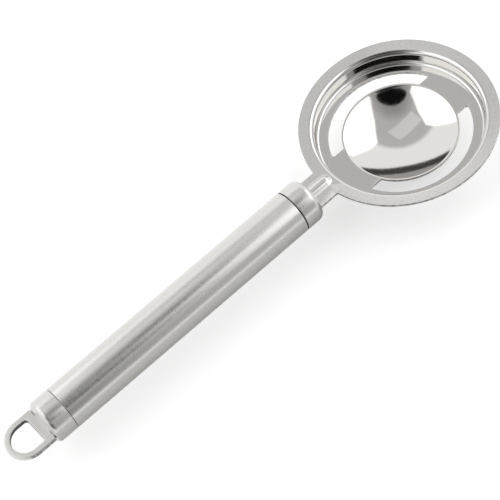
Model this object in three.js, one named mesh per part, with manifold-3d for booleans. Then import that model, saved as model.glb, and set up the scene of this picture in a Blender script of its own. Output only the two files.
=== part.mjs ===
// Egg separator: a pressed steel head with a yolk cup, on a round hollow handle with a hang loop.
// Millimetres, +Z up. X runs along the handle with the head at +X, and the head's rim lies level.
// The origin is under the middle of the whole tool, at the height of the lowest point of the yolk cup.
import * as THREE from 'three';
import { mergeVertices } from 'three/addons/utils/BufferGeometryUtils.js';
import Module from 'manifold-3d';

// Head, pressed from one sheet. Heights run down from the top face of the rim.
const sheet = 0.9;            // thickness of the pressed steel
const rimRadius = 37.5;       // outer edge of the flat rim
const rimWidth = 3.9;         // flat part of the rim
const bendRadius = 1.4;       // rim to wall, on the middle of the sheet
const wallLean = 5;           // lean of the bowl's wall from upright, degrees
const bowlDepth = 6.6;        // top of the rim to top of the floor
const floorFillet = 1.9;      // wall to floor, on the middle of the sheet
const floorWidth = 2.95;      // flat ring of floor outside the slots
const slotWidth = 5;          // radial width of the two curved slots
const slotCorner = 0.8;       // corner radius of the slots
const bridgeWidth = 20.4;     // each of the two webs that carry the yolk cup
const cupLip = 0.3;           // flat lip between a slot and the rolled edge of the cup
const cupEdge = 1.6;          // rolled edge of the cup, on the middle of the sheet
const cupSlope = 42;          // slope of the cup's bowl where it meets the rolled edge, degrees

// Neck and tang, cut from the same sheet as the rim.
const neckLength = 7.4;       // edge of the rim to the face of the front cap
const neckWidth = 13.4;
const neckFillet = 1;         // inner corner between neck and rim
const neckSeat = 1.3;         // full width of the neck goes this far into the cap
const ribWidth = 5.2;         // raised stiffening rib on the neck
const ribHeight = 2.0;        // above the rim
const ribCrown = 2.4;         // edge radius of the rib's top
const ribSetback = 0.5;       // round end of the rib to the bend of the rim
const tangWidth = 11.2;       // narrow tongue inside the handle
const tangLength = 16;        // past the seat of the neck
const tangCorner = 1.5;

// Handle, a brushed tube closed by two caps.
const gripDiameter = 17.3;
const gripWall = 0.8;
const gripLength = 108.8;
const capWall = 0.8;
const frontCapLength = 8.1;
const frontCapRound = 3.3;    // edge radius at the face of the front cap
const endCapLength = 8.5;
const endCapRound = 2.6;
const skirtLength = 6;        // reduced collar of each cap inside the tube
const sealWidth = 0.45;       // dark ring in the front joint
const sealDepth = 0.15;       // the ring lies this far under the tube's surface

// Hang loop, a flat plate with a D-shaped eye and a tongue through the end cap.
const loopWidth = 15.8;
const loopLength = 15.3;
const loopThickness = 1.9;
const loopBand = 2.2;         // width of the bow
const loopFoot = 3;           // width of the straight bar next to the cap
const loopCorner = 1.3;       // inner corners of the eye
const loopEdge = 0.25;        // broken edges of the plate
const tongueWidth = 9;
const tongueLength = 5;       // past the face of the end cap

// Welds inside the handle.
const weldRadius = 1.1;
const weldLength = 7;

const gap = 0.2;              // clearance between pieces that touch

const headSides = 72;
const gripSides = 48;

const wasm = await Module();
wasm.setup();

const rad = THREE.MathUtils.degToRad;

// Turns a closed three.js geometry into a solid that can be joined and cut.
function solid(geometry) {
  const bare = geometry.clone();
  bare.deleteAttribute('normal');
  bare.deleteAttribute('uv');
  const merged = mergeVertices(bare, 1e-4);
  const position = merged.attributes.position;
  const kept = [];
  let volume = 0;
  const a = new THREE.Vector3();
  const b = new THREE.Vector3();
  const c = new THREE.Vector3();
  for (let i = 0; i < merged.index.count; i += 3) {
    const tri = [0, 1, 2].map((k) => merged.index.getX(i + k));
    if (tri[0] === tri[1] || tri[1] === tri[2] || tri[2] === tri[0]) continue;
    a.fromBufferAttribute(position, tri[0]);
    b.fromBufferAttribute(position, tri[1]);
    c.fromBufferAttribute(position, tri[2]);
    volume += a.dot(b.cross(c));
    kept.push(tri);
  }
  const triVerts = new Uint32Array(kept.flatMap((t) => (volume < 0 ? [t[0], t[2], t[1]] : t)));
  const vertProperties = new Float32Array(position.array);
  return new wasm.Manifold(new wasm.Mesh({ numProp: 3, vertProperties, triVerts }));
}

function mesh(name, body, material) {
  const data = body.getMesh();
  const geometry = new THREE.BufferGeometry();
  geometry.setAttribute('position', new THREE.BufferAttribute(data.vertProperties, 3));
  geometry.setIndex(new THREE.BufferAttribute(data.triVerts, 1));
  geometry.computeVertexNormals();
  const made = new THREE.Mesh(geometry, new THREE.MeshStandardMaterial(material));
  made.name = name;
  return made;
}

// Revolves [radius, height] points round Z.
function revolveZ(points, sides) {
  const profile = points.map(([r, z]) => new THREE.Vector2(Math.max(r, 0), z));
  return solid(new THREE.LatheGeometry(profile, sides).rotateX(Math.PI / 2));
}

// Revolves [radius, x] points round the handle's axis, which lies along X at the given height.
function revolveX(points, axisZ) {
  const profile = points.map(([r, x]) => new THREE.Vector2(Math.max(r, 0), x));
  return solid(new THREE.LatheGeometry(profile, gripSides).rotateZ(-Math.PI / 2).translate(0, 0, axisZ));
}

// Extrudes a shape drawn in plan between two heights.
function plate(shape, z0, z1, steps, bevel = 0) {
  const geometry = new THREE.ExtrudeGeometry(shape, {
    depth: z1 - z0 - 2 * bevel,
    curveSegments: steps,
    bevelEnabled: bevel > 0,
    bevelThickness: bevel,
    bevelSize: bevel,
    bevelOffset: -bevel,
    bevelSegments: 1,
  });
  return solid(geometry.translate(0, 0, z0 + bevel));
}

// Extrudes a section drawn in Y and Z along X from xBack to xFront.
function bar(shape, xBack, xFront) {
  const geometry = new THREE.ExtrudeGeometry(shape, {
    depth: xFront - xBack,
    curveSegments: 4,
    bevelEnabled: false,
  });
  const upright = new THREE.Matrix4().makeBasis(
    new THREE.Vector3(0, 1, 0),
    new THREE.Vector3(0, 0, 1),
    new THREE.Vector3(1, 0, 0),
  );
  return solid(geometry.applyMatrix4(upright).translate(xBack, 0, 0));
}

function block(x0, x1, width, z0, z1) {
  const geometry = new THREE.BoxGeometry(x1 - x0, width, z1 - z0);
  return solid(geometry.translate((x0 + x1) / 2, 0, (z0 + z1) / 2));
}

// The head's section: the middle of the sheet is walked from the rim to the axis as straight runs and
// arcs, and each stop gives one point on the upper face and one on the lower face.
const bendTurn = rad(90 - wallLean);
const cupTurn = rad(cupSlope);
const wallRun = (bowlDepth - (bendRadius + floorFillet) * (1 - Math.cos(bendTurn))) / Math.sin(bendTurn);
const bendStart = rimRadius - rimWidth;
const floorStart = bendStart - (bendRadius + floorFillet) * Math.sin(bendTurn) - wallRun * Math.cos(bendTurn);
const slotOuter = floorStart - floorWidth;
const slotInner = slotOuter - slotWidth;
const cupEdgeStart = slotInner - cupLip;
const cupStart = cupEdgeStart - cupEdge * Math.sin(cupTurn);
const cupRadius = cupStart / Math.sin(cupTurn);

const upper = [];
const lower = [];
const at = { r: rimRadius, z: -sheet / 2, turn: 0 };

function stop() {
  const nr = -Math.sin(at.turn);
  const nz = Math.cos(at.turn);
  upper.push([at.r + (nr * sheet) / 2, at.z + (nz * sheet) / 2]);
  lower.push([at.r - (nr * sheet) / 2, at.z - (nz * sheet) / 2]);
}

function run(length) {
  at.r -= length * Math.cos(at.turn);
  at.z -= length * Math.sin(at.turn);
  stop();
}

function arc(radius, toTurn, steps) {
  const side = toTurn > at.turn ? 1 : -1;
  const centreR = at.r + side * radius * Math.sin(at.turn);
  const centreZ = at.z - side * radius * Math.cos(at.turn);
  const from = at.turn;
  for (let i = 1; i <= steps; i += 1) {
    at.turn = from + ((toTurn - from) * i) / steps;
    at.r = centreR - side * radius * Math.sin(at.turn);
    at.z = centreZ + side * radius * Math.cos(at.turn);
    stop();
  }
}

stop();
run(rimWidth);
arc(bendRadius, bendTurn, 5);
run(wallRun);
arc(floorFillet, 0, 5);
run(floorStart - cupEdgeStart);
arc(cupEdge, cupTurn, 3);
arc(cupRadius, 0, 8);

const cupBottom = lower[lower.length - 1][1];

// Plan of one curved slot on the +Y side, with rounded corners.
function slotShape() {
  const edge = bridgeWidth / 2;
  const y = edge + slotCorner;
  const outer = slotOuter - slotCorner;
  const inner = slotInner + slotCorner;
  const outerAngle = Math.asin(y / outer);
  const innerAngle = Math.asin(y / inner);
  const xo = outer * Math.cos(outerAngle);
  const xi = inner * Math.cos(innerAngle);
  const half = Math.PI / 2;
  const shape = new THREE.Shape();
  shape.moveTo(xi, edge);
  shape.lineTo(xo, edge);
  shape.absarc(xo, y, slotCorner, -half, outerAngle, false);
  shape.absarc(0, 0, slotOuter, outerAngle, Math.PI - outerAngle, false);
  shape.absarc(-xo, y, slotCorner, Math.PI - outerAngle, Math.PI + half, false);
  shape.lineTo(-xi, edge);
  shape.absarc(-xi, y, slotCorner, -half, -innerAngle, false);
  shape.absarc(0, 0, slotInner, Math.PI - innerAngle, innerAngle, true);
  shape.absarc(xi, y, slotCorner, Math.PI + innerAngle, Math.PI + half, false);
  return shape;
}

// Long slots need short steps round their arcs, so each slot is extruded on its own.
function slotCutter(turn) {
  const geometry = new THREE.ExtrudeGeometry(slotShape(), {
    depth: 3 * sheet,
    curveSegments: 12,
    bevelEnabled: false,
  });
  return solid(geometry.translate(0, 0, -bowlDepth - 2 * sheet).rotateZ(turn));
}

// Stations along the handle, from the head backwards.
const capFace = -rimRadius - neckLength;
const capBack = capFace - frontCapLength;
const sealFront = capBack - gap;
const gripFront = sealFront - sealWidth - gap;
const gripBack = gripFront - gripLength;
const endFront = gripBack - gap;
const endFace = endFront - endCapLength;
const loopBase = endFace - gap;
const loopTip = loopBase - loopLength;
const axisZ = -sheet / 2;
const gripRadius = gripDiameter / 2;
const skirtRadius = gripRadius - gripWall - gap;
const capBore = skirtRadius - capWall;
const seatX = capFace - neckSeat;
const tangEnd = seatX - tangLength;
const ribEnd = -bendStart - ribSetback - ribWidth / 2;

// Plan of neck and tang, overlapping the rim so that the two fuse into one sheet.
function neckShape() {
  const half = neckWidth / 2;
  const tang = tangWidth / 2;
  const reach = rimRadius + neckFillet;
  const cornerY = half + neckFillet;
  const cornerX = -Math.sqrt(reach * reach - cornerY * cornerY);
  const lean = Math.atan2(cornerY, -cornerX);
  const inside = -bendStart - rimWidth / 4;
  const shape = new THREE.Shape();
  shape.moveTo(inside, (cornerY * rimRadius) / reach);
  shape.absarc(cornerX, cornerY, neckFillet, -lean, -Math.PI / 2, true);
  shape.lineTo(seatX, half);
  shape.lineTo(seatX, tang);
  shape.absarc(tangEnd + tangCorner, tang - tangCorner, tangCorner, Math.PI / 2, Math.PI, false);
  shape.absarc(tangEnd + tangCorner, tangCorner - tang, tangCorner, Math.PI, 1.5 * Math.PI, false);
  shape.lineTo(seatX, -tang);
  shape.lineTo(seatX, -half);
  shape.absarc(cornerX, -cornerY, neckFillet, Math.PI / 2, lean, true);
  shape.lineTo(inside, (-cornerY * rimRadius) / reach);
  return shape;
}

// Section of the rib, grown by the given amount, from the given floor height upwards.
function ribSection(grow, floor) {
  const half = ribWidth / 2 + grow;
  const top = ribHeight + grow;
  const crown = ribCrown + grow;
  const shape = new THREE.Shape();
  shape.moveTo(-half, floor);
  shape.lineTo(half, floor);
  shape.lineTo(half, top - crown);
  shape.absarc(half - crown, top - crown, crown, 0, Math.PI / 2, false);
  shape.absarc(crown - half, top - crown, crown, Math.PI / 2, Math.PI, false);
  shape.lineTo(-half, floor);
  return shape;
}

// The same section turned about the upright line at the rib's end, which rounds the end off.
function ribNose(grow, floor) {
  const half = ribWidth / 2 + grow;
  const top = ribHeight + grow;
  const crown = ribCrown + grow;
  const points = [[0, floor], [half, floor]];
  for (let i = 0; i <= 6; i += 1) {
    const a = (Math.PI / 2) * (i / 6);
    points.push([half - crown + crown * Math.cos(a), top - crown + crown * Math.sin(a)]);
  }
  points.push([0, top]);
  return revolveZ(points, 20).translate([ribEnd, 0, 0]);
}

const slotHalf = [0, Math.PI].map(slotCutter);
let head = revolveZ([...upper, ...lower.reverse(), upper[0]], headSides);
head = head.subtract(slotHalf[0]).subtract(slotHalf[1]);
head = head.add(plate(neckShape(), -sheet, 0, 4));
head = head.add(bar(ribSection(0, -sheet), tangEnd + tangCorner, ribEnd)).add(ribNose(0, -sheet));
const channel = -2 * sheet;
head = head.subtract(bar(ribSection(-sheet, channel), tangEnd + tangCorner - sheet, ribEnd));
head = head.subtract(ribNose(-sheet, channel));

// A cap: a rounded closed end, a full-diameter band and a reduced collar that sits inside the tube.
// The face lies at x = 0 and the cap runs towards +X.
function capProfile(length, round) {
  const inner = Math.max(round - capWall, capWall);
  const points = [[0, 0]];
  for (let i = 0; i <= 6; i += 1) {
    const a = (Math.PI / 2) * (i / 6);
    points.push([gripRadius - round + round * Math.sin(a), round - round * Math.cos(a)]);
  }
  points.push([gripRadius, length]);
  points.push([skirtRadius, length]);
  points.push([skirtRadius, length + skirtLength]);
  points.push([capBore, length + skirtLength]);
  for (let i = 0; i <= 3; i += 1) {
    const a = (Math.PI / 2) * (1 - i / 3);
    points.push([capBore - inner + inner * Math.sin(a), capWall + inner - inner * Math.cos(a)]);
  }
  points.push([0, capWall]);
  return points;
}

// The front cap's slot lets the neck in as far as its seat, and the narrower tang and the rib through.
const frontProfile = capProfile(frontCapLength, frontCapRound).map(([r, x]) => [r, capFace - x]);
let frontCap = revolveX(frontProfile, axisZ);
const neckSlot = block(seatX - gap, capFace + gap, neckWidth + 2 * gap, -sheet - gap, gap);
const tangSlot = block(tangEnd, capFace + gap, tangWidth + 2 * gap, -sheet - gap, gap);
const ribSlot = bar(ribSection(gap, -sheet), tangEnd, capFace + gap);
frontCap = frontCap.subtract(neckSlot).subtract(tangSlot).subtract(ribSlot);

// The dark ring lies between the front cap and the tube, round the cap's collar.
const sealOut = gripRadius - sealDepth;
const sealIn = skirtRadius + gap;
const sealBack = sealFront - sealWidth;
const sealPoints = [[sealIn, sealBack], [sealOut, sealBack], [sealOut, sealFront], [sealIn, sealFront]];
const seal = revolveX([...sealPoints, sealPoints[0]], axisZ);

const gripIn = gripRadius - gripWall;
const gripPoints = [[gripIn, gripBack], [gripRadius, gripBack], [gripRadius, gripFront], [gripIn, gripFront]];
const grip = revolveX([...gripPoints, gripPoints[0]], axisZ);

const endProfile = capProfile(endCapLength, endCapRound).map(([r, x]) => [r, endFace + x]);
const loopZ = [axisZ - loopThickness / 2, axisZ + loopThickness / 2];
const tongueSlot = block(
  endFace - gap,
  endFace + tongueLength + 2 * gap,
  tongueWidth + 2 * gap,
  loopZ[0] - gap,
  loopZ[1] + gap,
);
const endCap = revolveX(endProfile, axisZ).subtract(tongueSlot);

// Plan of the hang loop: straight bar, two sides and a round bow, with a tongue towards the cap.
function loopShape() {
  const half = loopWidth / 2;
  const tongue = tongueWidth / 2;
  const bowX = loopTip + half;
  const shape = new THREE.Shape();
  shape.moveTo(loopBase, half);
  shape.lineTo(bowX, half);
  shape.absarc(bowX, 0, half, Math.PI / 2, 1.5 * Math.PI, false);
  shape.lineTo(loopBase, -half);
  shape.lineTo(loopBase, -tongue);
  shape.lineTo(endFace + tongueLength, -tongue);
  shape.lineTo(endFace + tongueLength, tongue);
  shape.lineTo(loopBase, tongue);
  shape.lineTo(loopBase, half);
  const eye = half - loopBand;
  const barX = loopBase - loopFoot;
  const cornerX = barX - loopCorner;
  const cornerY = eye - loopCorner;
  const hole = new THREE.Path();
  hole.moveTo(bowX, eye);
  hole.absarc(bowX, 0, eye, Math.PI / 2, 1.5 * Math.PI, false);
  hole.absarc(cornerX, -cornerY, loopCorner, -Math.PI / 2, 0, false);
  hole.absarc(cornerX, cornerY, loopCorner, 0, Math.PI / 2, false);
  shape.holes.push(hole);
  return shape;
}

const loop = plate(loopShape(), loopZ[0], loopZ[1], 9, loopEdge);

// A weld bead lies in the corner between a tongue and the inside of the cap that it passes through.
function weld(x, top) {
  const section = new THREE.Shape();
  section.absarc(0, 0, weldRadius, 0, 2 * Math.PI, false);
  const geometry = new THREE.ExtrudeGeometry(section, {
    depth: weldLength,
    curveSegments: 8,
    bevelEnabled: false,
  });
  return solid(geometry.rotateX(Math.PI / 2).translate(x, weldLength / 2, top - weldRadius));
}

const tangWeld = weld(capFace - capWall - gap - weldRadius, -sheet - gap);
const loopWeld = weld(endFace + capWall + gap + weldRadius, loopZ[0] - gap);

const polished = { color: 0xd4d4d2, roughness: 0.16, metalness: 1 };
const brushed = { color: 0xc9c7c3, roughness: 0.34, metalness: 1 };
const satin = { color: 0xcdcccb, roughness: 0.4, metalness: 1 };
const rubber = { color: 0x151515, roughness: 0.7, metalness: 0 };
const welded = { color: 0x9a958e, roughness: 0.6, metalness: 1 };

const separator = new THREE.Group();
separator.name = 'egg_separator';
separator.position.set(-(rimRadius + loopTip) / 2, 0, -cupBottom);
separator.add(mesh('separator_head', head, polished));
separator.add(mesh('front_cap', frontCap, brushed));
separator.add(mesh('front_seal', seal, rubber));
separator.add(mesh('handle_tube', grip, brushed));
separator.add(mesh('end_cap', endCap, brushed));
separator.add(mesh('hang_loop', loop, satin));
separator.add(mesh('tang_weld', tangWeld, welded));
separator.add(mesh('loop_weld', loopWeld, welded));

export default separator;
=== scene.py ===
# %% [markdown]
# # A steel egg separator
# The tool is a head pressed from one sheet of steel, with a yolk cup in the middle, on a hollow round
# handle that ends in a flat hang loop. Each visible piece is modelled again here as a fine smooth mesh,
# because polished steel shows every facet of a coarse one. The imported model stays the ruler: all
# places come from it, in metres.

# %% Load the frame
import math

import bmesh
import bpy
from mathutils import Matrix, Vector


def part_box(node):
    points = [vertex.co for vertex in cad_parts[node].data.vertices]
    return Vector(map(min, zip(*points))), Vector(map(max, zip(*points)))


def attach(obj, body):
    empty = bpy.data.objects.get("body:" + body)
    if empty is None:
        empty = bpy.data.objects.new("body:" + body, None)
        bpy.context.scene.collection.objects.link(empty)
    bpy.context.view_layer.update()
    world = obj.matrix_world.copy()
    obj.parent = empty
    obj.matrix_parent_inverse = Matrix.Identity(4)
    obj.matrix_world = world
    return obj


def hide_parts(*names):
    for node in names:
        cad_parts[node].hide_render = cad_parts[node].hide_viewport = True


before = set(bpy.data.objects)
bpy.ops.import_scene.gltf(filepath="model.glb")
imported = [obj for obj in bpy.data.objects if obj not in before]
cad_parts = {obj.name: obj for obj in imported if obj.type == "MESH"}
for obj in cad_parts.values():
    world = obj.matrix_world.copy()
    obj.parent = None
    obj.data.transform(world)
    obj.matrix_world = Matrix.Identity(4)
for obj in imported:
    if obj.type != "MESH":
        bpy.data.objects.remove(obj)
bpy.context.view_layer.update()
print("pieces in the frame:", sorted(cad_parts))

# %% [markdown]
# ## The view
# The camera was solved from the outline of the rim and the handle: it stands about 0.65 m away with a
# long lens, looking down on the tool. A location and three turns hold that view exactly, which an aim
# point alone wouldn't, because the picture is also rolled a little.

# %% Camera
LENS, SENSOR = 130.518, 36
CAMERA_PLACE = (-0.153736, -0.325621, 0.559084)
CAMERA_TURNS = (32.0184, 10.3322, -41.3074)
lens = bpy.data.cameras.new("view")
lens.lens = LENS
lens.sensor_width = SENSOR
lens.sensor_fit = "HORIZONTAL"
lens.clip_start = 0.01
view = bpy.data.objects.new("view", lens)
view.location = CAMERA_PLACE
view.rotation_euler = [math.radians(a) for a in CAMERA_TURNS]
bpy.context.collection.objects.link(view)
bpy.context.scene.camera = view
bpy.context.scene.view_settings.view_transform = "Standard"
print("lens in mm:", LENS)

# %% [markdown]
# ## Sizes and places
# Sizes are written in millimetres, as a drawing has them, and turned into metres when a point is made.
# The middle of the rim and the height of the handle's axis are read from the frame, so the new meshes
# sit where the solids are.

# %% Sizes
MM = 0.001
SHEET = 0.9
RIM = 37.5
head_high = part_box("separator_head")[1]
tube_low, tube_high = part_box("handle_tube")
AXIS_Z = (tube_low[2] + tube_high[2]) / 2
HEAD_X = head_high[0] - RIM * MM
RIM_TOP = AXIS_Z + SHEET / 2 * MM


def spot(x, y, z):
    """A point given in millimetres from the middle of the rim's top face."""
    return Vector((HEAD_X + x * MM, y * MM, RIM_TOP + z * MM))


print("middle of the rim:", [round(c, 4) for c in spot(0, 0, 0)])

# %% [markdown]
# ## Drawing with a pencil
# An outline can be typed as a list of points, or walked like a pencil line. Here one vertex is the
# pencil tip: a straight stroke extrudes it, and a curved stroke spins it about a centre. The outlines
# then keep true arcs, and the code reads like the drawing of the part. A short trial line shows it.

# %% Pencil strokes
UP = Vector((0, 0, 1))
ACROSS = Vector((0, 1, 0))
MERGE = 1e-6


def stroke(bm, tip, to):
    """Draws a straight line from the tip and returns the new tip."""
    new = bmesh.ops.extrude_vert_indiv(bm, verts=[tip])["verts"][0]
    new.co = to
    return new


def sweep(bm, tip, centre, degrees, steps, axis=UP):
    """Draws an arc about a centre and returns the new tip."""
    made = bmesh.ops.spin(
        bm, geom=[tip], cent=centre, axis=axis, angle=math.radians(degrees), steps=steps,
        use_duplicate=False,
    )
    return [v for v in made["geom_last"] if isinstance(v, bmesh.types.BMVert)][0]


trial = bmesh.new()
tip = stroke(trial, trial.verts.new(spot(0, 0, 0)), spot(10, 0, 0))
sweep(trial, tip, spot(10, 10, 0), 90, 8)
print("points on a line with a quarter arc:", len(trial.verts))
trial.free()

# %% [markdown]
# ## Finishes of the steel
# The bowl is polished like a mirror, the rim has a fine satin grain, the rib keeps the streaks of the
# press and the handle is brushed round and round. Where the sheet was cut, its edge is dull and darker.
# The near black wall of the loop's eye is painted shade. The loop's near side alone takes the darker cut
# edge, which is painted shade on that side.
# All of them are one metal, so they share one helper. Roughness, a little bump, two close shades and
# the way the highlight is drawn out tell them apart. The patterns are noise on the piece's own
# coordinates, because an image would show its pixels on such small parts.

# %% Plain metal and its grain
def steel(name, colour, roughness):
    """A metal with its plain values set on the shader, and the node tree to add detail to."""
    material = bpy.data.materials.new(name)
    material.use_nodes = True
    tree = material.node_tree
    shader = tree.nodes["Principled BSDF"]
    shader.inputs["Base Color"].default_value = (*colour, 1)
    shader.inputs["Metallic"].default_value = 1
    shader.inputs["Roughness"].default_value = roughness
    return material, tree, shader


def grain(tree, scale, detail=6, stretch=(1, 1, 1)):
    """Noise on the piece's own coordinates, squeezed or drawn out per axis."""
    where = tree.nodes.new("ShaderNodeTexCoord")
    mapping = tree.nodes.new("ShaderNodeMapping")
    mapping.inputs["Scale"].default_value = stretch
    noise = tree.nodes.new("ShaderNodeTexNoise")
    noise.inputs["Scale"].default_value = scale
    noise.inputs["Detail"].default_value = detail
    tree.links.new(where.outputs["Object"], mapping.inputs["Vector"])
    tree.links.new(mapping.outputs["Vector"], noise.inputs["Vector"])
    return noise.outputs["Fac"]


# %% What the grain does to the metal
NOISE_LOW, NOISE_HIGH = 0.3, 0.7
SHADE_LOW, SHADE_HIGH = 0.35, 0.65


def uneven(tree, shader, value, low, high):
    """Lets the roughness follow a noise value between two ends."""
    node = tree.nodes.new("ShaderNodeMapRange")
    node.inputs["From Min"].default_value = NOISE_LOW
    node.inputs["From Max"].default_value = NOISE_HIGH
    node.inputs["To Min"].default_value = low
    node.inputs["To Max"].default_value = high
    tree.links.new(value, node.inputs["Value"])
    tree.links.new(node.outputs["Result"], shader.inputs["Roughness"])


def ripple(tree, shader, value, distance, strength):
    """A fine bump from a noise value."""
    bump = tree.nodes.new("ShaderNodeBump")
    bump.inputs["Distance"].default_value = distance
    bump.inputs["Strength"].default_value = strength
    tree.links.new(value, bump.inputs["Height"])
    tree.links.new(bump.outputs["Normal"], shader.inputs["Normal"])


def speckle(tree, shader, value, low, high):
    """Two shades of the metal, mixed by a noise value."""
    ramp = tree.nodes.new("ShaderNodeValToRGB")
    for element, position, colour in zip(ramp.color_ramp.elements, (SHADE_LOW, SHADE_HIGH), (low, high)):
        element.position = position
        element.color = (*colour, 1)
    tree.links.new(value, ramp.inputs["Fac"])
    tree.links.new(ramp.outputs["Color"], shader.inputs["Base Color"])


# %% Polished, satin and drawn steel of the head
polished, tree, shader = steel("polished_steel", (0.674, 0.66, 0.641), 0.07)
uneven(tree, shader, grain(tree, 900), 0.05, 0.10)

satin, tree, shader = steel("satin_steel", (0.683, 0.675, 0.661), 0.24)
uneven(tree, shader, grain(tree, 4000), 0.2, 0.28)
ripple(tree, shader, grain(tree, 1800, 3), 0.00005, 0.5)
speckle(tree, shader, grain(tree, 1700, 2), (0.652, 0.645, 0.631), (0.718, 0.71, 0.695))

drawn, tree, shader = steel("drawn_steel", (0.69, 0.68, 0.662), 0.14)
streaks = grain(tree, 40, 3, (1, 34, 34))
uneven(tree, shader, streaks, 0.08, 0.22)
ripple(tree, shader, streaks, 0.00012, 0.5)
print("steels of the head:", polished.name, satin.name, drawn.name)

# %% Brushed steel of the handle, satin of the loop
brushed, tree, shader = steel("brushed_steel", (0.662, 0.655, 0.634), 0.3)
uneven(tree, shader, grain(tree, 380, 5, (9, 1, 1)), 0.25, 0.33)
shader.inputs["Anisotropic"].default_value = 0.7
along = tree.nodes.new("ShaderNodeTangent")
along.direction_type = "UV_MAP"
along.uv_map = "brushing"
tree.links.new(along.outputs["Tangent"], shader.inputs["Tangent"])

loop_satin, tree, shader = steel("loop_satin", (0.646, 0.64, 0.624), 0.34)
uneven(tree, shader, grain(tree, 3500), 0.3, 0.4)
print("steels of handle and loop:", brushed.name, loop_satin.name)

# %% Cut edges, and painted shade on the hang loop
# Near black steel for the wall of the loop's eye: painted shade in the hole, darker than cut steel is.
eye_shade_steel, tree, shader = steel("eye_wall_painted_shade", (0.12, 0.12, 0.12), 0.4)
uneven(tree, shader, grain(tree, 2500), 0.35, 0.5)
speckle(tree, shader, grain(tree, 500, 3, (1, 1, 4)), (0.02, 0.02, 0.02), (0.12, 0.12, 0.12))

# The dull, darker cut edge of the sheet. On the hang loop it goes on the near side only, where it is
# painted shade.
sheared_and_near_shade, tree, shader = steel("sheared_edge_and_near_shade", (0.3, 0.3, 0.3), 0.3)
uneven(tree, shader, grain(tree, 2500), 0.25, 0.4)
speckle(tree, shader, grain(tree, 900, 3, (1, 1, 0.2)), (0.24, 0.24, 0.24), (0.62, 0.62, 0.61))
print("cut edges:", eye_shade_steel.name, sheared_and_near_shade.name)

# %% [markdown]
# ## Rubber and welds
# A dark ring shows in the front joint, and two welds inside the caps hold neck and loop. The welds are
# never seen from outside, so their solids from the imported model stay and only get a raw, dull finish.

# %% Black rubber and raw weld
rubber, tree, shader = steel("black_rubber", (0.012, 0.012, 0.012), 0.6)
shader.inputs["Metallic"].default_value = 0
uneven(tree, shader, grain(tree, 2500), 0.5, 0.7)

weld, tree, shader = steel("raw_weld", (0.5, 0.48, 0.45), 0.55)
uneven(tree, shader, grain(tree, 1500), 0.4, 0.7)
for name in ("tang_weld", "loop_weld"):
    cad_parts[name].data.materials.clear()
    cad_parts[name].data.materials.append(weld)
print("materials:", [m.name for m in bpy.data.materials])

# %% [markdown]
# ## The head: walls and cup
# The real head is one blank of sheet steel that a press bends and draws. So the mesh is one sheet too,
# drawn as its upper face only; a Solidify modifier gives it the thickness of the steel afterwards. The
# round parts, rim bend with wall and the yolk cup, are sections walked with the pencil and spun. The cup
# is two arcs that meet without a corner, a round middle and a flatter side. One arc would be simpler,
# but the images that it mirrors would lie in other places than in the real cup.

# %% Sizes of the bowl
TURNS = 224
SATIN, POLISHED, DRAWN, SHEARED = 0, 1, 2, 3
BEND, FILLET, CUP_EDGE = 1.85, 1.45, 1.5
BEND_START, DEPTH = 33.6, 6.6
FLOOR_WIDTH, SLOT_WIDTH, CUP_LIP = 3.16, 5.0, 0.2
WALL_TURN, CUP_TURN, BOWL_TURN = 88.5, 30.3, 21
CUP_RADIUS = 36
lean, slope, inner = (math.radians(a) for a in (WALL_TURN, CUP_TURN, BOWL_TURN))
WALL = (DEPTH - (BEND + FILLET) * (1 - math.cos(lean))) / math.sin(lean)
FLOOR_START = BEND_START - (BEND + FILLET) * math.sin(lean) - WALL * math.cos(lean)
SLOT_OUT = FLOOR_START - FLOOR_WIDTH
SLOT_IN = SLOT_OUT - SLOT_WIDTH
CUP_START = SLOT_IN - CUP_LIP
SIDE_RADIUS = (CUP_START - CUP_EDGE * math.sin(slope) - CUP_RADIUS * math.sin(inner)) / (
    math.sin(slope) - math.sin(inner)
)
print("radius of the cup's side, mm:", round(SIDE_RADIUS, 2))


# %% Bowl wall and yolk cup
def inward(fall):
    """One millimetre square to a line of the section that falls by an angle, towards the middle."""
    return Vector((-math.sin(fall), 0, math.cos(fall))) * MM


bowl = bmesh.new()
tip = bowl.verts.new(spot(BEND_START, 0, 0))
tip = sweep(bowl, tip, spot(BEND_START, 0, -BEND), -WALL_TURN, 14, ACROSS)
tip = stroke(bowl, tip, tip.co - Vector((math.cos(lean), 0, math.sin(lean))) * WALL * MM)
tip = sweep(bowl, tip, tip.co + inward(lean) * FILLET, WALL_TURN, 12, ACROSS)
print("wall meets the floor at", [round(c, 5) for c in tip.co - spot(FLOOR_START, 0, -DEPTH)])

tip = bowl.verts.new(spot(CUP_START, 0, -DEPTH))
tip = sweep(bowl, tip, spot(CUP_START, 0, -DEPTH - CUP_EDGE), -CUP_TURN, 10, ACROSS)
tip = sweep(bowl, tip, tip.co + inward(slope) * SIDE_RADIUS, CUP_TURN - BOWL_TURN, 16, ACROSS)
tip = sweep(bowl, tip, tip.co + inward(inner) * CUP_RADIUS, BOWL_TURN, 28, ACROSS)
print("cup bottom from its axis, mm:", round((tip.co.x - HEAD_X) / MM, 4))
bmesh.ops.spin(
    bowl, geom=bowl.verts[:] + bowl.edges[:], cent=spot(0, 0, 0), axis=UP, angle=2 * math.pi, steps=TURNS,
    use_merge=True, use_duplicate=False,
)
bmesh.ops.remove_doubles(bowl, verts=bowl.verts[:], dist=MERGE)
for face in bowl.faces:
    face.material_index = POLISHED
print("wall and cup faces:", len(bowl.faces))

# %% [markdown]
# ## The head: rib on the neck
# A raised rib stiffens the flat neck. Half its section is walked with the pencil: a small foot radius, a
# straight flank and a wide crown. It is spun through half a turn for the round nose, and the section at
# the nose is extruded straight back into the handle. The flank has one even slope, so it catches the
# right soft box as one clean white streak.

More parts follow.
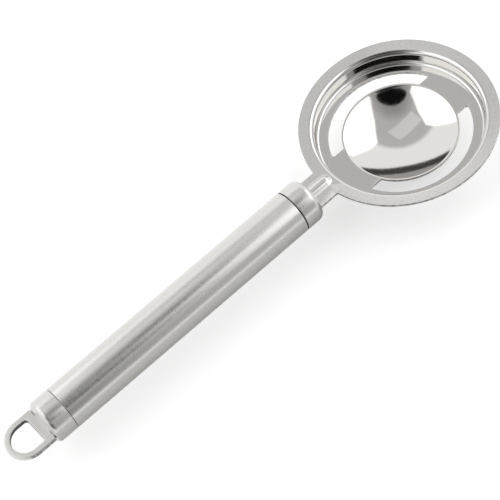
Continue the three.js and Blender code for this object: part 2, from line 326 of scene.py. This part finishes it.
# %% Section of the rib
ALONG = Vector((1, 0, 0))
TANG_END = -62.2
RIB_WIDE, RIB_SLOPE, FOOT_RADIUS, CROWN_RADIUS, FLANK = 2.9, 36, 0.5, 2.6, 1.3
NOSE_GAP = 0.3
RIB_NOSE = -BEND_START - NOSE_GAP - RIB_WIDE
RIB_SHIFT = 0.8
NOSE_STEPS = 36
rise = math.radians(RIB_SLOPE)


def rib_spot(y, z):
    """A point of the rib's cross section at its nose."""
    return spot(RIB_NOSE, y + RIB_SHIFT, z)


rib = bmesh.new()
tip = rib.verts.new(rib_spot(RIB_WIDE, 0))
tip = sweep(rib, tip, rib_spot(RIB_WIDE, FOOT_RADIUS), -RIB_SLOPE, 5, ALONG)
tip = stroke(rib, tip, tip.co + Vector((0, -math.cos(rise), math.sin(rise))) * FLANK * MM)
crown = tip.co - Vector((0, math.sin(rise), math.cos(rise))) * CROWN_RADIUS * MM
tip = sweep(rib, tip, crown, RIB_SLOPE, 12, ALONG)
print("height of the rib, mm:", round((tip.co.z - RIM_TOP) / MM, 3))
tip = stroke(rib, tip, Vector((tip.co.x, RIB_SHIFT * MM, tip.co.z)))

# %% Nose and run of the rib
bmesh.ops.spin(
    rib, geom=rib.verts[:] + rib.edges[:], cent=rib_spot(0, 0), axis=UP, angle=-math.pi, steps=NOSE_STEPS,
    use_duplicate=False,
)
bmesh.ops.remove_doubles(rib, verts=rib.verts[:], dist=MERGE)
nose_x = rib_spot(0, 0).x
section = [e for e in rib.edges if e.is_boundary and all(abs(v.co.x - nose_x) < MERGE for v in e.verts)]
back = bmesh.ops.extrude_edge_only(rib, edges=section)["geom"]
moved = [g for g in back if isinstance(g, bmesh.types.BMVert)]
bmesh.ops.translate(rib, verts=moved, vec=ALONG * (TANG_END - RIB_NOSE) * MM)
for face in rib.faces:
    face.material_index = DRAWN
print("rib section edges:", len(section), "faces:", len(rib.faces))

# %% [markdown]
# ## The head: rim and neck
# The flat parts are drawn as outlines and filled, which leaves no ripples whatever holes they have. The
# neck leaves the round rim with a fillet on each side. A press never leaves a rim quite level: its outer
# edge stands a little proud here, fading to level on one side, and the near edge of the neck stands
# proud too. Without that lift the flats would mirror other parts of the room and have the wrong tones.

# %% Helpers for flat parts
def fill(bm, material):
    """Fills the outlines of a flat part and gives it a material."""
    bmesh.ops.remove_doubles(bm, verts=bm.verts[:], dist=MERGE)
    bmesh.ops.triangle_fill(bm, edges=bm.edges[:], use_beauty=True, normal=UP)
    for face in bm.faces:
        face.material_index = material
    print("faces of a flat part:", len(bm.faces))


def ring_line(bm, radius, height):
    """A full circle of the head, with its points where the spun parts have theirs."""
    sweep(bm, bm.verts.new(spot(radius, 0, height)), spot(0, 0, height), 360, TURNS)


# %% Outline of rim and neck
NECK_HALF, TANG_HALF, TANG_CORNER, NECK_FILLET = 6.7, 5.6, 1.5, 1.0
SEAT_X = -46.2
fillet_y = NECK_HALF + NECK_FILLET
fillet_x = -math.sqrt((RIM + NECK_FILLET) ** 2 - fillet_y**2)
fillet_turn = math.degrees(math.atan2(-fillet_x, fillet_y))
rim = bmesh.new()
tip = rim.verts.new(spot(TANG_END, RIB_SHIFT + RIB_WIDE, 0))
tip = stroke(rim, tip, spot(TANG_END, TANG_HALF - TANG_CORNER, 0))
tip = sweep(rim, tip, spot(TANG_END + TANG_CORNER, TANG_HALF - TANG_CORNER, 0), -90, 6)
tip = stroke(rim, tip, spot(SEAT_X, TANG_HALF, 0))
tip = stroke(rim, tip, spot(SEAT_X, NECK_HALF, 0))
tip = stroke(rim, tip, spot(fillet_x, NECK_HALF, 0))
tip = sweep(rim, tip, spot(fillet_x, fillet_y, 0), fillet_turn, 8)
tip = sweep(rim, tip, spot(0, 0, 0), -360 + 2 * (90 - fillet_turn), 220)
tip = sweep(rim, tip, spot(fillet_x, -fillet_y, 0), fillet_turn, 8)
tip = stroke(rim, tip, spot(SEAT_X, -NECK_HALF, 0))
tip = stroke(rim, tip, spot(SEAT_X, -TANG_HALF, 0))
tip = stroke(rim, tip, spot(TANG_END + TANG_CORNER, -TANG_HALF, 0))
tip = sweep(rim, tip, spot(TANG_END + TANG_CORNER, TANG_CORNER - TANG_HALF, 0), -90, 6)
tip = stroke(rim, tip, spot(TANG_END, RIB_SHIFT - RIB_WIDE, 0))
outer_points = len(rim.verts)
tip = stroke(rim, tip, rib_spot(-RIB_WIDE, 0))
tip = sweep(rim, tip, rib_spot(0, 0), 180, NOSE_STEPS)
tip = stroke(rim, tip, spot(TANG_END, RIB_SHIFT + RIB_WIDE, 0))
print("points on the outer outline:", outer_points)

# %% Lift of the rim's edge
PROUD, NECK_PROUD = 0.48, 0.75
PROUD_END, PROUD_FADE = 85, 35
TOUCH = 0.1
rim.verts.ensure_lookup_table()
for corner in rim.verts[:outer_points]:
    x, y = (corner.co.x - HEAD_X) / MM, corner.co.y / MM
    if x > SEAT_X + TOUCH:
        fade = min(max((PROUD_END - math.degrees(math.atan2(y, x))) / PROUD_FADE, 0), 1)
        corner.co.z += PROUD * fade * fade * (3 - 2 * fade) * MM
    elif y < -TANG_HALF - TOUCH:
        corner.co.z += NECK_PROUD * MM
ring_line(rim, BEND_START, 0)
fill(rim, SATIN)

# %% [markdown]
# ## The head: floor with its two slots
# The egg white runs down through two curved slots round the cup. They could be cut out of a finished
# floor, but a cut leaves long thin faces that polished steel shows. Here each slot is drawn as an outline
# with small corner radii inside the ring of the floor, and one fill leaves it open.

# %% Floor with its two slots
BRIDGE_HALF, SLOT_CORNER = 10.2, 0.8
row = BRIDGE_HALF + SLOT_CORNER
out_turn = math.degrees(math.asin(row / (SLOT_OUT - SLOT_CORNER)))
in_turn = math.degrees(math.asin(row / (SLOT_IN + SLOT_CORNER)))
out_x = (SLOT_OUT - SLOT_CORNER) * math.cos(math.radians(out_turn))
in_x = (SLOT_IN + SLOT_CORNER) * math.cos(math.radians(in_turn))


def slot_spot(side, x, y):
    """A point of a slot; side -1 turns it half round the middle of the bowl."""
    return spot(x * side, y * side, -DEPTH)


bottom = bmesh.new()
for side in (1, -1):
    tip = bottom.verts.new(slot_spot(side, in_x, BRIDGE_HALF))
    tip = stroke(bottom, tip, slot_spot(side, out_x, BRIDGE_HALF))
    tip = sweep(bottom, tip, slot_spot(side, out_x, row), 90 + out_turn, 8)
    tip = sweep(bottom, tip, slot_spot(side, 0, 0), 180 - 2 * out_turn, 72)
    tip = sweep(bottom, tip, slot_spot(side, -out_x, row), 90 + out_turn, 8)
    tip = stroke(bottom, tip, slot_spot(side, -in_x, BRIDGE_HALF))
    tip = sweep(bottom, tip, slot_spot(side, -in_x, row), 90 - in_turn, 8)
    tip = sweep(bottom, tip, slot_spot(side, 0, 0), -180 + 2 * in_turn, 64)
    tip = sweep(bottom, tip, slot_spot(side, in_x, row), 90 - in_turn, 8)
ring_line(bottom, FLOOR_START, -DEPTH)
ring_line(bottom, CUP_START, -DEPTH)
fill(bottom, POLISHED)

# %% [markdown]
# ## The head: one sheet of steel
# The four parts share their border points, so merging doubles makes one sheet of them. Solidify could be
# applied as an operator too, but as a modifier it keeps the thickness in one place. Its cut edge gets a
# finish of its own, and a very small bevel breaks that edge, as on any sheet that was tumbled. Weighted
# normals keep the flats flat next to the bevels.

# %% One sheet
head = bmesh.new()
for part in (bowl, rib, rim, bottom):
    mesh = bpy.data.meshes.new("part_of_head")
    part.to_mesh(mesh)
    part.free()
    head.from_mesh(mesh)
    bpy.data.meshes.remove(mesh)
bmesh.ops.remove_doubles(head, verts=head.verts[:], dist=2 * MERGE)
bmesh.ops.recalc_face_normals(head, faces=head.faces[:])
if sum(f.normal.z * f.calc_area() for f in head.faces) < 0:
    bmesh.ops.reverse_faces(head, faces=head.faces[:])
print("open edges of the sheet:", sum(e.is_boundary for e in head.edges))


# %% Finished pieces
def finish_piece(name, bm, materials, node):
    """Makes the object for a finished mesh, rides it on the tool and lets it stand for its node."""
    mesh = bpy.data.meshes.new(name)
    bm.to_mesh(mesh)
    bm.free()
    for face in mesh.polygons:
        face.use_smooth = True
    for material in materials:
        mesh.materials.append(material)
    piece = bpy.data.objects.new(name, mesh)
    bpy.context.collection.objects.link(piece)
    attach(piece, "root")
    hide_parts(node)
    print(name, "faces:", len(mesh.polygons))
    return piece


def break_edges(piece, width, segments, angle, clamp):
    """Bevels the sharp edges of a piece and lets its large faces rule the shading."""
    edges = piece.modifiers.new("edges", "BEVEL")
    edges.width = width * MM
    edges.segments = segments
    edges.limit_method = "ANGLE"
    edges.angle_limit = math.radians(angle)
    edges.use_clamp_overlap = clamp
    shade = piece.modifiers.new("shading", "WEIGHTED_NORMAL")
    shade.mode = "FACE_AREA"
    print("modifiers of", piece.name, [m.name for m in piece.modifiers])


# %% Thickness and broken edges
SHEET_BEVEL, SHEET_ANGLE = 0.13, 55
head_steels = [satin, polished, drawn, sheared_and_near_shade]
head_piece = finish_piece("head_sheet", head, head_steels, "separator_head")
thick = head_piece.modifiers.new("sheet", "SOLIDIFY")
thick.thickness = SHEET * MM
thick.offset = -1
thick.use_even_offset = True
# The offset counts on from a face's own material and stops at the last one.
thick.material_offset_rim = SHEARED
break_edges(head_piece, SHEET_BEVEL, 2, SHEET_ANGLE, clamp=False)

# %% [markdown]
# ## The handle
# Tube, caps and the dark ring are all turned shapes: a section walked with the pencil, spun about the
# handle's axis. Every outer corner gets a true arc, because those small arcs carry the bright lines
# that show where one piece ends. A UV map along the axis tells the shader which way the brushing runs.

# %% Turned pieces
GRIP = 8.65
STEPS = 144
UV_SIZE = 10


def axle(x, r):
    """A point of a turned section: x from the middle of the rim, r from the handle's axis."""
    return spot(x, 0, r - SHEET / 2)


def turn(name, bm, material, node):
    """Spins a section about the handle's axis and maps the brushing along it."""
    bmesh.ops.spin(
        bm, geom=bm.verts[:] + bm.edges[:], cent=axle(0, 0), axis=ALONG, angle=2 * math.pi, steps=STEPS,
        use_merge=True, use_duplicate=False,
    )
    bmesh.ops.remove_doubles(bm, verts=bm.verts[:], dist=MERGE)
    bmesh.ops.recalc_face_normals(bm, faces=bm.faces[:])
    uv = bm.loops.layers.uv.new("brushing")
    for face in bm.faces:
        middle = face.calc_center_median()
        base = math.atan2(middle.y, middle.z - AXIS_Z)
        for loop in face.loops:
            angle = math.atan2(loop.vert.co.y, loop.vert.co.z - AXIS_Z)
            angle = base + (angle - base + math.pi) % (2 * math.pi) - math.pi
            loop[uv].uv = (loop.vert.co.x / MM / UV_SIZE, angle * GRIP / UV_SIZE)
    finish_piece(name, bm, [material], node)


# %% Tube
TUBE_FRONT, TUBE_BACK = -53.68, -162.65
TUBE_WALL, EDGE = 0.8, 0.12
tube = bmesh.new()
tip = tube.verts.new(axle(TUBE_FRONT - EDGE, GRIP))
tip = stroke(tube, tip, axle(TUBE_BACK + EDGE, GRIP))
tip = sweep(tube, tip, axle(TUBE_BACK + EDGE, GRIP - EDGE), -90, 4, ACROSS)
tip = stroke(tube, tip, axle(TUBE_BACK, GRIP - TUBE_WALL))
tip = stroke(tube, tip, axle(TUBE_FRONT, GRIP - TUBE_WALL))
tip = stroke(tube, tip, axle(TUBE_FRONT, GRIP - EDGE))
tip = sweep(tube, tip, axle(TUBE_FRONT - EDGE, GRIP - EDGE), -90, 4, ACROSS)
bmesh.ops.remove_doubles(tube, verts=tube.verts[:], dist=MERGE)
turn("grip_tube", tube, brushed, "handle_tube")

# %% [markdown]
# ## Caps and joint ring
# A cap closes each end of the tube: drawn from sheet, with a rounded shoulder, and a collar that fits
# inside the tube. Both caps are one function with other sizes, turned to either side. The dark ring
# lies a little below the surface between the front cap and the tube, so the joint reads as a groove.

# %% Caps
SKIRT, BORE = 7.65, 6.85
COLLAR, CAP_WALL, INNER_CHAMFER = 6, 0.8, 1.4
FRONT_FACE, FRONT_LENGTH, FRONT_SHOULDER = -44.9, 8.27, 2.7
REAR_FACE, REAR_LENGTH, REAR_SHOULDER = -171.35, 8.5, 2.0


def cap(name, face_x, length, shoulder, way, node):
    """A drawn cap: flat face, rounded shoulder, band and a reduced collar inside the tube."""
    bm = bmesh.new()
    back = face_x + way * length
    inside = face_x + way * CAP_WALL
    tip = bm.verts.new(axle(face_x, 0))
    tip = stroke(bm, tip, axle(face_x, GRIP - shoulder))
    tip = sweep(bm, tip, axle(face_x + way * shoulder, GRIP - shoulder), 90 * way, 16, ACROSS)
    tip = stroke(bm, tip, axle(back - way * EDGE, GRIP))
    tip = sweep(bm, tip, axle(back - way * EDGE, GRIP - EDGE), 90 * way, 4, ACROSS)
    tip = stroke(bm, tip, axle(back, SKIRT))
    tip = stroke(bm, tip, axle(back + way * COLLAR, SKIRT))
    tip = stroke(bm, tip, axle(back + way * COLLAR, BORE))
    tip = stroke(bm, tip, axle(inside + way * INNER_CHAMFER, BORE))
    tip = stroke(bm, tip, axle(inside, BORE - INNER_CHAMFER))
    tip = stroke(bm, tip, axle(inside, 0))
    turn(name, bm, brushed, node)


cap("front_ferrule", FRONT_FACE, FRONT_LENGTH, FRONT_SHOULDER, -1, "front_cap")
cap("rear_cap", REAR_FACE, REAR_LENGTH, REAR_SHOULDER, 1, "end_cap")

# %% Dark ring
RING_FRONT, RING_BACK = -53.19, -53.66
RING_IN, RING_OUT = 7.85, 8.45
ring = bmesh.new()
first = ring.verts.new(axle(RING_FRONT, RING_IN))
tip = stroke(ring, first, axle(RING_FRONT, RING_OUT))
tip = stroke(ring, tip, axle(RING_BACK, RING_OUT))
tip = stroke(ring, tip, axle(RING_BACK, RING_IN))
ring.edges.new((tip, first))
turn("joint_ring", ring, rubber, "front_seal")

# %% [markdown]
# ## The hang loop
# A flat plate with a D-shaped eye. Its outline and its eye are walked with the pencil and filled, the
# fill is extruded through the thickness of the plate, and the long edges get a small round bevel, as a
# stamped and tumbled plate has. The wall of the eye and the near side get dull, dark finishes of their
# own. The near black of the eye's wall is painted shade in the hole. The near side takes the darker
# finish of a cut edge that the far side lacks, so its darkness is partly painted shade.

# %% Outline and eye of the loop
LOOP_BASE, LOOP_HALF, LOOP_TIP, LOOP_THICK = -171.4, 7.9, -186.85, 1.9
TONGUE, TONGUE_HALF = 5, 4.5
EYE_HALF, EYE_BAR, EYE_CORNER = 5.7, -174.55, 1.3
bow_x = LOOP_TIP + LOOP_HALF


def flat_spot(x, y):
    """A point on the upper face of the loop."""
    return spot(x, y, LOOP_THICK / 2 - SHEET / 2)


loop = bmesh.new()
first = loop.verts.new(flat_spot(LOOP_BASE, LOOP_HALF))
tip = stroke(loop, first, flat_spot(bow_x, LOOP_HALF))
tip = sweep(loop, tip, flat_spot(bow_x, 0), 180, 64)
tip = stroke(loop, tip, flat_spot(LOOP_BASE, -LOOP_HALF))
tip = stroke(loop, tip, flat_spot(LOOP_BASE, -TONGUE_HALF))
tip = stroke(loop, tip, flat_spot(LOOP_BASE + TONGUE, -TONGUE_HALF))
tip = stroke(loop, tip, flat_spot(LOOP_BASE + TONGUE, TONGUE_HALF))
tip = stroke(loop, tip, flat_spot(LOOP_BASE, TONGUE_HALF))
loop.edges.new((tip, first))

first = loop.verts.new(flat_spot(bow_x, EYE_HALF))
tip = sweep(loop, first, flat_spot(bow_x, 0), 180, 48)
tip = stroke(loop, tip, flat_spot(EYE_BAR - EYE_CORNER, -EYE_HALF))
tip = sweep(loop, tip, flat_spot(EYE_BAR - EYE_CORNER, EYE_CORNER - EYE_HALF), 90, 10)
tip = stroke(loop, tip, flat_spot(EYE_BAR, EYE_HALF - EYE_CORNER))
tip = sweep(loop, tip, flat_spot(EYE_BAR - EYE_CORNER, EYE_HALF - EYE_CORNER), 90, 10)
loop.edges.new((tip, first))
print("points of outline and eye:", len(loop.verts))

# %% Plate of the loop
EYE_WALL, NEAR_SIDE = 1, 2
LOOP_BEVEL, LOOP_ANGLE = 0.3, 60
bmesh.ops.triangle_fill(loop, edges=loop.edges[:], use_beauty=True, normal=UP)
raised = bmesh.ops.extrude_face_region(loop, geom=loop.faces[:])
low = [g for g in raised["geom"] if isinstance(g, bmesh.types.BMVert)]
bmesh.ops.translate(loop, verts=low, vec=Vector((0, 0, -LOOP_THICK * MM)))
bmesh.ops.recalc_face_normals(loop, faces=loop.faces[:])
# The eye's wall gets the near black steel, painted shade in the hole. The near side alone gets the darker
# cut-edge steel, painted shade on that side.
for face in loop.faces:
    middle = face.calc_center_median()
    upright = abs(face.normal.z) < 0.5
    in_eye = abs(middle.y) < (EYE_HALF + TOUCH) * MM and middle.x < spot(EYE_BAR + TOUCH, 0, 0).x
    if upright and in_eye and (spot(bow_x, 0, 0) - middle).dot(face.normal) > 0:
        face.material_index = EYE_WALL
    elif face.normal.y < -0.9 and middle.y < -EYE_HALF * MM - MERGE:
        face.material_index = NEAR_SIDE
loop_steels = [loop_satin, eye_shade_steel, sheared_and_near_shade]
loop_piece = finish_piece("hang_loop_plate", loop, loop_steels, "hang_loop")
break_edges(loop_piece, LOOP_BEVEL, 4, LOOP_ANGLE, clamp=True)

# %% [markdown]
# ## The table
# Steel mirrors the table that it lies on, so the table is part of the look. It is plain and pale, it
# keeps the soft shadow of the tool, and it glows a little towards the camera and towards mirrors. More
# lamps would make it white too, but they would also light the tool too much.

# %% Pale floor
GLOW, FLOOR_GREY = 0.52, 0.6
FLOOR_HALF, FLOOR_DROP = 3, 0.0002
table = bmesh.new()
bmesh.ops.create_grid(table, x_segments=1, y_segments=1, size=FLOOR_HALF)
mesh = bpy.data.meshes.new("floor")
table.to_mesh(mesh)
table.free()
floor = bpy.data.objects.new("floor", mesh)
floor.location = (0, 0, -FLOOR_DROP)
bpy.context.collection.objects.link(floor)
print("floor, metres across:", 2 * FLOOR_HALF)

# %% Colour and glow of the floor
pale = bpy.data.materials.new("pale_floor")
pale.use_nodes = True
tree = pale.node_tree
shader = tree.nodes["Principled BSDF"]
shader.inputs["Base Color"].default_value = (FLOOR_GREY, FLOOR_GREY, FLOOR_GREY, 1)
shader.inputs["Roughness"].default_value = 0.9
shader.inputs["Emission Color"].default_value = (1, 1, 1, 1)
path = tree.nodes.new("ShaderNodeLightPath")
rays = path.outputs["Is Camera Ray"]
for kind in ("Is Glossy Ray", "Is Transmission Ray"):
    more = tree.nodes.new("ShaderNodeMath")
    more.operation = "ADD"
    tree.links.new(rays, more.inputs[0])
    tree.links.new(path.outputs[kind], more.inputs[1])
    rays = more.outputs[0]
glow = tree.nodes.new("ShaderNodeMath")
glow.operation = "MULTIPLY"
glow.inputs[1].default_value = GLOW
tree.links.new(rays, glow.inputs[0])
tree.links.new(glow.outputs[0], shader.inputs["Emission Strength"])
mesh.materials.append(pale)
print("glow of the floor:", GLOW)

# %% [markdown]
# ## The room
# Polished steel is a picture of its room, so the room is half of the material. It is a white studio
# whose ceiling is darker than its walls, and the side where the camera stands is dark near the table. The
# room could be a photograph wrapped round the scene. Here it is a product of a few soft greys, each of
# which depends on how close a ray runs to one direction, so every one of them can be tuned by itself.

# %% Helpers for the room
world = bpy.data.worlds.new("studio")
bpy.context.scene.world = world
world.use_nodes = True
tree = world.node_tree
background = tree.nodes["Background"]
where = tree.nodes.new("ShaderNodeTexCoord")
print("room:", world.name)


def compass(azimuth, elevation):
    """The direction at a compass angle from +X and a height angle."""
    a, e = math.radians(azimuth), math.radians(elevation)
    return Vector((math.cos(a) * math.cos(e), math.sin(a) * math.cos(e), math.sin(e)))


def shade_toward(direction, stops):
    """Grey that depends on how close the ray runs to a direction, given as pairs of cosine and level."""
    toward = tree.nodes.new("ShaderNodeVectorMath")
    toward.operation = "DOT_PRODUCT"
    toward.inputs[1].default_value = direction
    tree.links.new(where.outputs["Generated"], toward.inputs[0])
    ramp = tree.nodes.new("ShaderNodeValToRGB")
    while len(ramp.color_ramp.elements) < len(stops):
        ramp.color_ramp.elements.new(0.5)
    for element, (position, level) in zip(ramp.color_ramp.elements, stops):
        element.position = position
        element.color = (level, level, level, 1)
    tree.links.new(toward.outputs["Value"], ramp.inputs["Fac"])
    return ramp.outputs["Color"]


def both(a, b):
    """The product of two greys."""
    node = tree.nodes.new("ShaderNodeVectorMath")
    node.operation = "MULTIPLY"
    tree.links.new(a, node.inputs[0])
    tree.links.new(b, node.inputs[1])
    return node.outputs["Vector"]


# %% Greys of the room
ceiling = shade_toward(UP, [(0.67, 1.12), (0.74, 0.64), (1.0, 0.6)])
camera_side = shade_toward(compass(-124, 16), [(0.84, 1.0), (0.94, 0.07)])
above_camera = shade_toward(compass(-118, 72), [(0.9, 1.0), (0.99, 0.55)])
low_front = shade_toward(compass(-80, 20), [(0.8, 1.0), (0.95, 0.5)])
room = both(both(ceiling, camera_side), both(above_camera, low_front))
tree.links.new(room, background.inputs["Color"])
background.inputs["Strength"].default_value = 1
print("nodes of the room:", len(tree.nodes))

# %% [markdown]
# ## Soft boxes
# Two large soft boxes stand left and right of the tool. They are the two white fields in the cup, with a
# grey wedge of ceiling between them. A small box above gives the pale patch in the middle of the cup.
# Each is an area lamp that is set by the brightness of its face, so its mirror image keeps the same white
# when the box is made larger.

# %% Soft boxes
TARGET = spot(0, 0, 0)


def soft_box(name, place, facing, width, height, level):
    """A rectangular lamp that faces a direction, with the brightness of its face as level."""
    lamp = bpy.data.lights.new(name, "AREA")
    lamp.shape = "RECTANGLE"
    lamp.size = width
    lamp.size_y = height
    lamp.energy = level * math.pi * width * height
    box = bpy.data.objects.new(name, lamp)
    turned = facing.to_track_quat("-Z", "Y").to_matrix().to_4x4()
    box.matrix_world = Matrix.Translation(TARGET + place) @ turned
    box.visible_camera = False
    bpy.context.collection.objects.link(box)
    print(name, "power in watts:", round(lamp.energy, 2))


soft_box("right_box", Vector((0.811, -0.123, 0.97)), compass(140, 0), 1.57, 1.1, 1.0)
soft_box("left_box", Vector((-0.459, 0.528, 1.01)), compass(-18, 0), 1.28, 1.12, 1.0)
soft_box("top_box", Vector((0.1, 0.345, 1.0)), -UP, 0.64, 0.34, 0.22)

# %% [markdown]
# ## Cards that only mirrors show
# The camera is seen in the steel as a black spot in the cup and a black band on the far wall. A grey card
# on the table is painted shade: mirrors see it in place of the table's shadow under the handle, so the
# lower side of the handle is darker. All three are plain ovals that neither the camera nor the shadows
# know of, so they change nothing but reflections.

# %% Cards
BLACK, TABLE_SHADE_GREY = 0.005, 0.74
HOOD_TURN = -35.5


def card_paint(name, level):
    """A dull paint of one grey for the cards."""
    paint = bpy.data.materials.new(name)
    paint.use_nodes = True
    shader = paint.node_tree.nodes["Principled BSDF"]
    shader.inputs["Base Color"].default_value = (level, level, level, 1)
    shader.inputs["Specular IOR Level"].default_value = 0
    return paint


def mirror_card(name, place, turned, half_wide, half_high, paint):
    """An oval card that only mirrors show."""
    card = bmesh.new()
    oval = Matrix.Diagonal((half_wide, half_high, 1, 1))
    bmesh.ops.create_circle(card, cap_ends=True, segments=64, radius=1, matrix=oval)
    mesh = bpy.data.meshes.new(name)
    card.to_mesh(mesh)
    card.free()
    mesh.materials.append(paint)
    piece = bpy.data.objects.new(name, mesh)
    piece.matrix_world = Matrix.Translation(TARGET + place) @ turned
    piece.visible_camera = False
    piece.visible_diffuse = False
    piece.visible_shadow = False
    bpy.context.collection.objects.link(piece)
    print(name, "metres across:", 2 * half_wide)


black, grey = card_paint("card_black", BLACK), card_paint("card_grey", TABLE_SHADE_GREY)
away = compass(-124, 53.5)
facing_away = away.to_track_quat("Z", "Y").to_matrix().to_4x4()
hood_turned = Matrix.Rotation(math.radians(HOOD_TURN), 4, "Z")
mirror_card("camera_back", away * 1.4, facing_away, 0.84, 0.23, black)
mirror_card("camera_hood", Vector((-0.038, -0.078, 0.35)), hood_turned, 0.098, 0.042, black)
# A grey card on the table under the handle: painted shade that mirrors show in place of the table's
# shadow.
mirror_card("table_shade_card", Vector((-0.088, -0.045, -0.0152)), Matrix.Identity(4), 0.115, 0.06, grey)
